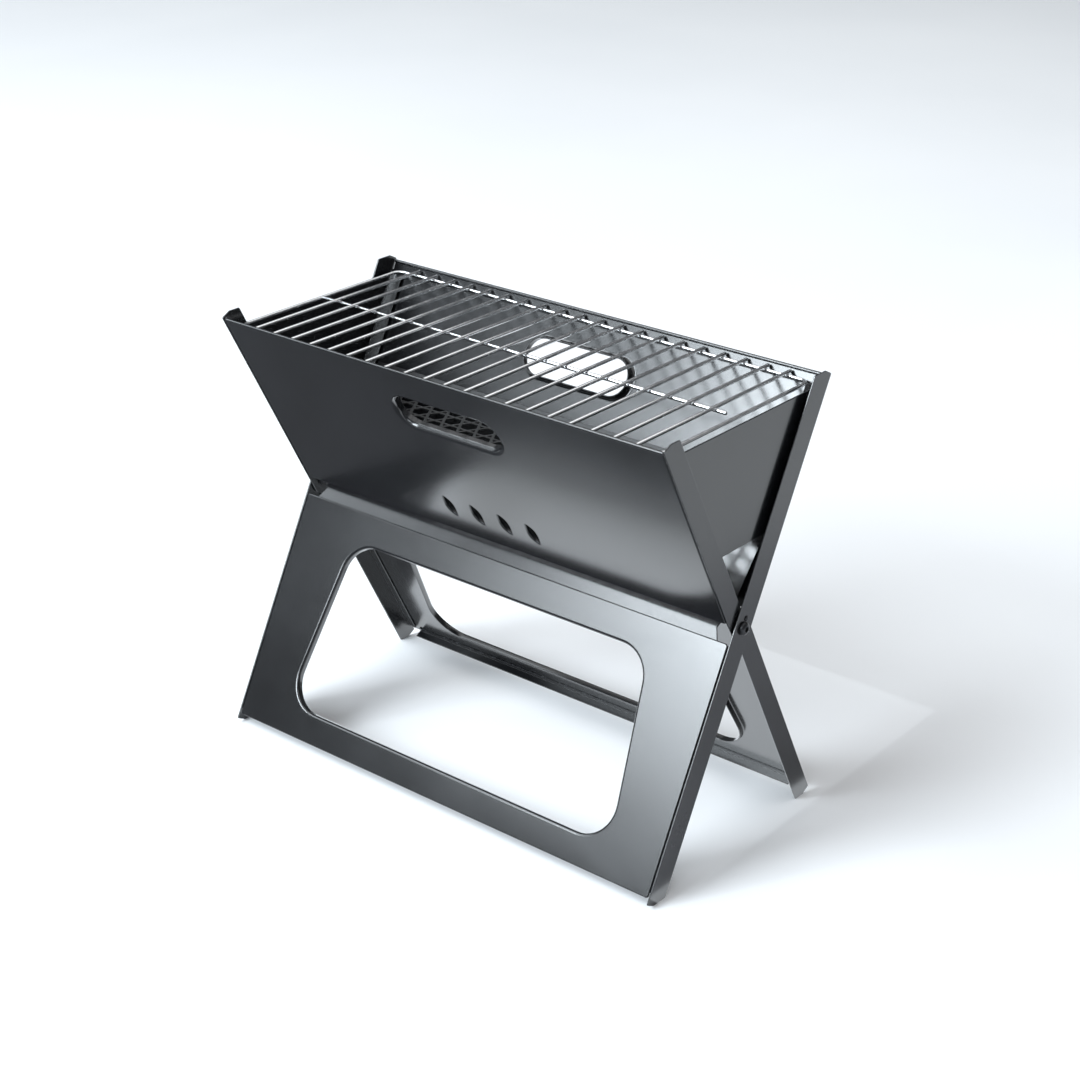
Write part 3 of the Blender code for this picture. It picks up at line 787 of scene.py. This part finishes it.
def make_trough_floor():
    """Folded floor between the leg panel and the back wall, with a shallow notch at each end of its slope."""
    lap = HALF_DEPTH - SHEET - GAP - SHEET / 2
    path = bent_path([(TROUGH_FRONT_LAP[0], lap), (TROUGH_FRONT_LAP[1], lap),
                      (TROUGH_BACK_LAP[0], -lap), (TROUGH_BACK_LAP[1], -lap)], 0.0030)
    longest = max(range(len(path) - 1), key=lambda i: path[i + 1][0] - path[i][0])
    first, last = path[longest], path[longest + 1]
    between = [tuple(a + (b - a) * k / 16 for a, b in zip(first, last)) for k in range(1, 16)]
    path[longest + 1:longest + 1] = between

    def place(s, o, x):
        run = NOTCH_FRONT_RUN if s < NOTCH_CENTRE else NOTCH_BACK_RUN
        depth = max(1.0 - abs(s - NOTCH_CENTRE) / run, 0.0)
        return outer_point(x * (1 - NOTCH_SHARE * depth), s, o)

    bm = bmesh.new()
    add_swept_section(bm, thick_section(path, SHEET), -TROUGH_HALF_LENGTH, TROUGH_HALF_LENGTH, place)
    return finish_mesh("trough_floor_visual", bm, panel_paint, "outer_frame", ["trough_floor"])


def regular(x, y, corners, radius, turn, soft):
    """Outline of a regular hole with slightly rounded corners, as a function of its offset."""
    points = [(x + radius * math.cos(turn + 2 * math.pi * k / corners),
               y + radius * math.sin(turn + 2 * math.pi * k / corners)) for k in range(corners)]
    return lambda offset: rounded_loop(offset_corners(points, offset), soft + max(offset, 0.0), 3)


def make_charcoal_grate():
    clear = GAP + SHEET / 2
    low, high = GRATE_HEIGHT, GRATE_HEIGHT + GRATE_LIP_HEIGHT
    y_low = wall_inside(low) - clear / math.cos(LEAN)
    y_high = wall_inside(high) - clear / math.cos(LEAN)
    top = PIVOT_HEIGHT + low + SHEET / 2
    flat = y_low - 0.0022

    def place(x, y, depth):
        return Vector((x, y, top - depth))

    corners = [(-GRATE_HALF_LENGTH, flat), (-GRATE_HALF_LENGTH, -flat),
               (GRATE_HALF_LENGTH, -flat), (GRATE_HALF_LENGTH, flat)]

    def outline(inset):
        return rounded_loop(offset_corners(corners, -inset), 0.0006 - inset * 0.4, 3)

    section = [(0.0003, 0.0), (0.0001, 0.0001), (0.0, 0.0004), (0.0, SHEET - 0.0002), (0.0002, SHEET)]
    holes = []
    row_pitch = HEX_PITCH * math.sqrt(3) / 2
    reach = HEX_PITCH / math.sqrt(3)
    for row in range(-2, 3):
        columns = HEX_COLUMNS - row % 2
        for column in range(columns):
            x = (column - (columns - 1) / 2) * HEX_PITCH
            y = row * row_pitch
            holes.append((regular(x, y, 6, HEX_RADIUS, 0.0, 0.0009), section))
            holes.append((regular(x, y + reach, 3, TRIANGLE_RADIUS, math.pi / 2, 0.0004), section))
            holes.append((regular(x, y - reach, 3, TRIANGLE_RADIUS, -math.pi / 2, 0.0004), section))
    bm = bmesh.new()
    add_sheet(bm, place, outline, holes, edge_radius=0.0002)

    def place_lip(y, h, x):
        return Vector((x, y, PIVOT_HEIGHT + h))

    for sign in (-1, 1):
        bend = bent_path([(sign * (flat - 0.0002), low), (sign * y_low, low), (sign * y_high, high)], 0.0022)
        add_swept_section(bm, thick_section(bend, SHEET), -GRATE_HALF_LENGTH, GRATE_HALF_LENGTH, place_lip)
    return finish_mesh("charcoal_grate_visual", bm, grate_paint, "loose_grate", ["charcoal_grate"])


def make_end_panel(side_name, side):
    name = "end_panel_" + side_name
    low = END_PANEL_FOOT
    high = END_PANEL_TOP
    clear = (SHEET + 2 * GAP) / math.cos(LEAN)
    y_low, y_high = wall_inside(low) - clear, wall_inside(high) - clear
    corners = [(-y_low, low), (-y_high, high), (y_high, high), (y_low, low)]

    def place(y, h, x):
        return Vector((side * x, y, PIVOT_HEIGHT + h))

    bm = bmesh.new()
    add_plate(bm, None, END_PANEL_X - SHEET, END_PANEL_X, place, loop=soften(corners, 0.0012))
    thick = SHEET / math.cos(LEAN)
    lip_low, lip_high = low + 2 * SHEET, high - SHEET / 2
    for sign in (-1, 1):
        y_a = wall_inside(lip_low) - clear
        y_b = wall_inside(lip_high) - clear
        section = [(sign * y_a, lip_low), (sign * y_b, lip_high),
                   (sign * (y_b - thick), lip_high), (sign * (y_a - thick), lip_low)]

        def place_lip(y, h, x, sign=sign):
            spring = (x - END_PANEL_X + END_PANEL_LIP) * LIP_SPRING
            return place(y - sign * spring * math.cos(LEAN), h + spring * math.sin(LEAN), x)

        add_swept_section(bm, soften(section, 0.0004), END_PANEL_X - END_PANEL_LIP,
                          END_PANEL_X - SHEET / 2, place_lip)
    return finish_mesh(name + "_visual", bm, panel_paint, "loose_end_" + side_name, [name])


def make_cooking_grid():
    loop_z = PIVOT_HEIGHT + END_PANEL_TOP + GAP + WIRE_RADIUS
    cross_z = loop_z + 2 * WIRE_RADIUS - WELD
    cross_half = wall_inside(cross_z - PIVOT_HEIGHT - WIRE_RADIUS) - 2 * GAP
    loop_half = cross_half - GRID_OVERHANG
    corners = [(-GRID_HALF_LENGTH, loop_half), (-GRID_HALF_LENGTH, -loop_half),
               (GRID_HALF_LENGTH, -loop_half), (GRID_HALF_LENGTH, loop_half)]
    bm = bmesh.new()
    path = [(x, y, loop_z) for x, y in rounded_loop(corners, GRID_CORNER, 10)]
    add_tube(bm, path, WIRE_RADIUS, closed=True)
    pitch = 2 * GRID_HALF_LENGTH / GRID_SPACES
    for index in range(1, GRID_SPACES):
        x = -GRID_HALF_LENGTH + index * pitch
        add_tube(bm, [(x, -cross_half, cross_z), (x, cross_half, cross_z)], WIRE_RADIUS)
        for y in (-loop_half, 0.0, loop_half):
            if y == 0.0 and x > GRID_SPINE_STOP:
                continue
            add_blob(bm, (x, y, (loop_z + cross_z) / 2), (0.00135, 0.00135, 0.0006))
    add_tube(bm, [(-GRID_HALF_LENGTH, 0.0, loop_z), (GRID_SPINE_STOP, 0.0, loop_z)], WIRE_RADIUS)
    return finish_mesh("cooking_grid_visual", bm, wire_chrome, "loose_grid", ["cooking_grid"],
                       60.0, weighted=False)


def make_pivot(side_name, side):
    centre = (0.0, 0.0, PIVOT_HEIGHT)
    head_in = HALF_WIDTH + GAP
    head = 0.0055
    high = 0.0032
    recess = 0.0022
    tail = INNER_WEB - GAP - WASHER_THICKNESS - GAP - NUT_THICKNESS - BOLT_OVERRUN
    profile = [
        (tail, 0.0013, 0.0), (tail, 0.0021, 0.0), (tail + 0.0004, 0.0025, 0.0), (head_in, 0.0025, 0.0),
        (head_in, head - 0.0002, 0.0), (head_in + 0.0002, head, 0.0), (head_in + 0.0009, head, 0.0),
        (head_in + 0.0015, head * 0.975, 0.0), (head_in + 0.0021, head * 0.90, 0.0),
        (head_in + 0.0026, head * 0.78, 0.0), (head_in + 0.0030, head * 0.62, 0.0),
        (head_in + high, recess + 0.0005, 0.4), (head_in + high, recess + 0.0002, 0.8),
        (head_in + high - 0.0002, recess, 1.0), (head_in + high - 0.0014, recess, 1.0),
        (head_in + high - 0.0015, recess * 0.6, 1.0),
    ]
    bm = bmesh.new()
    add_turned(bm, profile, centre, side)
    finish_mesh("pivot_bolt_" + side_name + "_visual", bm, bolt_steel, "outer_frame",
                ["pivot_bolt_" + side_name], 34.0, weighted=False)

    stop = outer_point(0.0, 0.008, 0.0)
    stop_tail = INNER_WEB - GAP
    profile = [
        (stop_tail - 0.0009, 0.0012, 0.0), (stop_tail - 0.0008, 0.0017, 0.0),
        (stop_tail - 0.0004, 0.0022, 0.0),
        (stop_tail, 0.0022, 0.0), (stop_tail, 0.0014, 0.0), (head_in, 0.0014, 0.0), (head_in, 0.0021, 0.0),
        (head_in + 0.0001, 0.0022, 0.0), (head_in + 0.0004, 0.0020, 0.0), (head_in + 0.0007, 0.0015, 0.0),
        (head_in + 0.0009, 0.0008, 0.0),
    ]
    bm = bmesh.new()
    add_turned(bm, profile, stop, side, 32)
    finish_mesh("fold_stop_" + side_name + "_visual", bm, bolt_steel, "outer_frame",
                ["fold_stop_" + side_name], 34.0, weighted=False)


make_leg_panel("front_leg_panel", outer_point, OUTER_HALF, 1, "outer_frame")
make_leg_panel("rear_leg_panel", inner_point, INNER_HALF, -1, "inner_frame")
make_wall("back_wall", outer_point, OUTER_HALF, -1, "outer_frame", False)
make_wall("front_wall", inner_point, INNER_HALF, 1, "inner_frame", True)
make_trough_floor()
make_charcoal_grate()
make_cooking_grid()
for side_name, side in SIDES.items():
    make_rail("outer_rail_" + side_name, side, outer_point, HALF_WIDTH, outer_rail_corners(), 1,
              "outer_frame")
    make_rail("inner_rail_" + side_name, side, inner_point, INNER_FACE, inner_rail_corners(), -1,
              "inner_frame")
    make_end_panel(side_name, side)
    make_pivot(side_name, side)

for node_name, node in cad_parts.items():
    if node_name.startswith(("pivot_", "fold_")):
        for slot in node.material_slots:
            slot.material = bolt_steel

# ---------------------------------------------------------------- stage, lights and camera

bm = bmesh.new()
bmesh.ops.create_circle(bm, cap_ends=True, segments=96, radius=14.0)
floor_mesh = bpy.data.meshes.new("studio_floor")
bm.to_mesh(floor_mesh)
bm.free()
floor_mesh.materials.append(pale_floor("studio_floor"))
floor = bpy.data.objects.new("studio_floor", floor_mesh)
bpy.context.scene.collection.objects.link(floor)


CARD_HEIGHT = 0.0004


def add_card(name, low, high, shade, glow=0.0):
    """Card laid on the floor that only shows in reflections, hidden from the camera, diffuse rays and
    shadows: a dark card is a painted dark reflection standing in for shaded floor, a glowing card is a
    painted bright reflection.
    """
    (x0, y0), (x1, y1) = low, high
    corners = [(x, y, CARD_HEIGHT) for x, y in ((x0, y0), (x1, y0), (x1, y1), (x0, y1))]
    card_mesh = bpy.data.meshes.new(name)
    card_mesh.from_pydata(corners, [], [(0, 1, 2, 3)])
    n = Nodes(name)
    cloth = n.noise(12.0, 3.0)
    tones = [(0.3, (shade, shade, shade * 1.05)), (0.7, (shade * 1.2, shade * 1.2, shade * 1.26))]
    n.link(n.colours(cloth, tones), n.shader.inputs["Base Color"])
    n.link(n.remap(cloth, 0.3, 0.7, 0.9, 1.0), n.shader.inputs["Roughness"])
    n.shader.inputs["Specular IOR Level"].default_value = 0.0
    n.shader.inputs["Emission Color"].default_value = (0.90, 0.96, 1.0, 1.0)
    n.shader.inputs["Emission Strength"].default_value = glow
    card_mesh.materials.append(n.material)
    card = bpy.data.objects.new(name, card_mesh)
    card.visible_camera = False
    card.visible_diffuse = False
    card.visible_shadow = False
    card.visible_transmission = False
    bpy.context.scene.collection.objects.link(card)


# Dark cards seen only in reflections: painted dark reflections standing in for shaded floor around the grill.
add_card("front_painted_dark_reflection", (-2.5, -2.5), (0.6, -0.118), 0.10)
add_card("left_painted_dark_reflection", (-2.5, -0.118), (-0.245, 2.5), 0.10)
add_card("right_painted_shade_reflection", (0.235, -0.10), (0.52, 0.62), 0.42)
# Glowing card seen only in reflections, not a lamp: a painted bright reflection on the enamel walls.
add_card("painted_bright_reflection_card", (-0.245, -0.100), (0.235, 0.30), 0.5, 1.4)

WORLD_LIGHT = 0.14
WORLD_BACKDROP = 0.85
world = bpy.data.worlds.new("studio_world")
world.use_nodes = True
background = world.node_tree.nodes["Background"]
background.inputs["Color"].default_value = (0.93, 0.96, 1.0, 1.0)
light_path = world.node_tree.nodes.new("ShaderNodeLightPath")
backdrop = world.node_tree.nodes.new("ShaderNodeMapRange")
backdrop.inputs["To Min"].default_value = WORLD_LIGHT
backdrop.inputs["To Max"].default_value = WORLD_BACKDROP
world.node_tree.links.new(light_path.outputs["Is Camera Ray"], backdrop.inputs["Value"])
world.node_tree.links.new(backdrop.outputs["Result"], background.inputs["Strength"])
bpy.context.scene.world = world
bpy.context.scene.view_settings.view_transform = "Standard"


def add_panel(name, centre, target, width, height, radiance, colour):
    """Rectangular light whose face has the given brightness."""
    data = bpy.data.lights.new(name, "AREA")
    data.shape = "RECTANGLE"
    data.size, data.size_y = width, height
    data.energy = radiance * math.pi * width * height
    data.color = colour
    light = bpy.data.objects.new(name, data)
    light.location = centre
    direction = Vector(target) - Vector(centre)
    light.rotation_euler = direction.to_track_quat("-Z", "Y").to_euler()
    bpy.context.scene.collection.objects.link(light)


def add_far_panel(name, left, right, bottom, top, radiance, colour, distance=7.0):
    """Light panel given by the angles it fills: degrees left of straight ahead, degrees above the floor."""
    aim = Vector((0.0, 0.0, 0.2))
    turn, lift = math.radians((left + right) / 2), math.radians((bottom + top) / 2)
    away = Vector((-math.sin(turn) * math.cos(lift), -math.cos(turn) * math.cos(lift), math.sin(lift)))
    width = 2 * distance * math.tan(math.radians(abs(left - right) / 2)) * math.cos(lift)
    height = 2 * distance * math.tan(math.radians((top - bottom) / 2))
    add_panel(name, aim + away * distance, aim, width, height, radiance, colour)


COOL = (0.86, 0.94, 1.0)
add_far_panel("key_low", 34.5, 4.0, 15.0, 20.0, 8.5, COOL)
add_far_panel("key_a", 34.5, 4.0, 20.0, 38.0, 19.5, COOL)
add_far_panel("key_b", 37.0, 34.5, 15.0, 38.0, 7.0, COOL)
add_far_panel("key_c", 39.5, 37.0, 16.0, 38.0, 3.2, COOL)
add_far_panel("key_d", 42.0, 39.5, 20.0, 38.0, 0.6, COOL)
add_far_panel("high_key", 45.0, 14.0, 40.5, 58.0, 9.0, COOL)
add_far_panel("corner", 45.0, 39.0, 38.0, 50.0, 17.0, COOL)
add_far_panel("side", 84.0, 50.8, 29.0, 58.0, 5.0, COOL)
add_far_panel("fill", -10.0, -34.0, 18.0, 38.0, 4.0, COOL)
add_panel("ceiling", (0.1, 0.6, 3.6), (0.1, 0.6, 0.0), 5.6, 5.6, 1.02, (1.0, 1.0, 1.0))

VIEW_AZIMUTH = math.radians(39.49)
VIEW_ELEVATION = math.radians(24.84)
VIEW_ROLL = math.radians(0.17)
VIEW_TARGET = Vector((0.0256, 0.0, 0.2106))
VIEW_DISTANCE = 1.7498
FOCAL_IN_WIDTHS = 2168.2 / 1080

camera_data = bpy.data.cameras.new("camera")
camera_data.sensor_width = 36.0
camera_data.lens = 36.0 * FOCAL_IN_WIDTHS
camera = bpy.data.objects.new("camera", camera_data)
backwards = Vector((math.sin(VIEW_AZIMUTH) * math.cos(VIEW_ELEVATION),
                    -math.cos(VIEW_AZIMUTH) * math.cos(VIEW_ELEVATION),
                    math.sin(VIEW_ELEVATION)))
right = Vector((math.cos(VIEW_AZIMUTH), math.sin(VIEW_AZIMUTH), 0.0))
up = backwards.cross(right)
rolled_right = right * math.cos(VIEW_ROLL) + up * math.sin(VIEW_ROLL)
rolled_up = up * math.cos(VIEW_ROLL) - right * math.sin(VIEW_ROLL)
rotation = Matrix((rolled_right, rolled_up, backwards)).transposed().to_4x4()
camera.matrix_world = Matrix.Translation(VIEW_TARGET + backwards * VIEW_DISTANCE) @ rotation
bpy.context.scene.collection.objects.link(camera)
bpy.context.scene.camera = camera
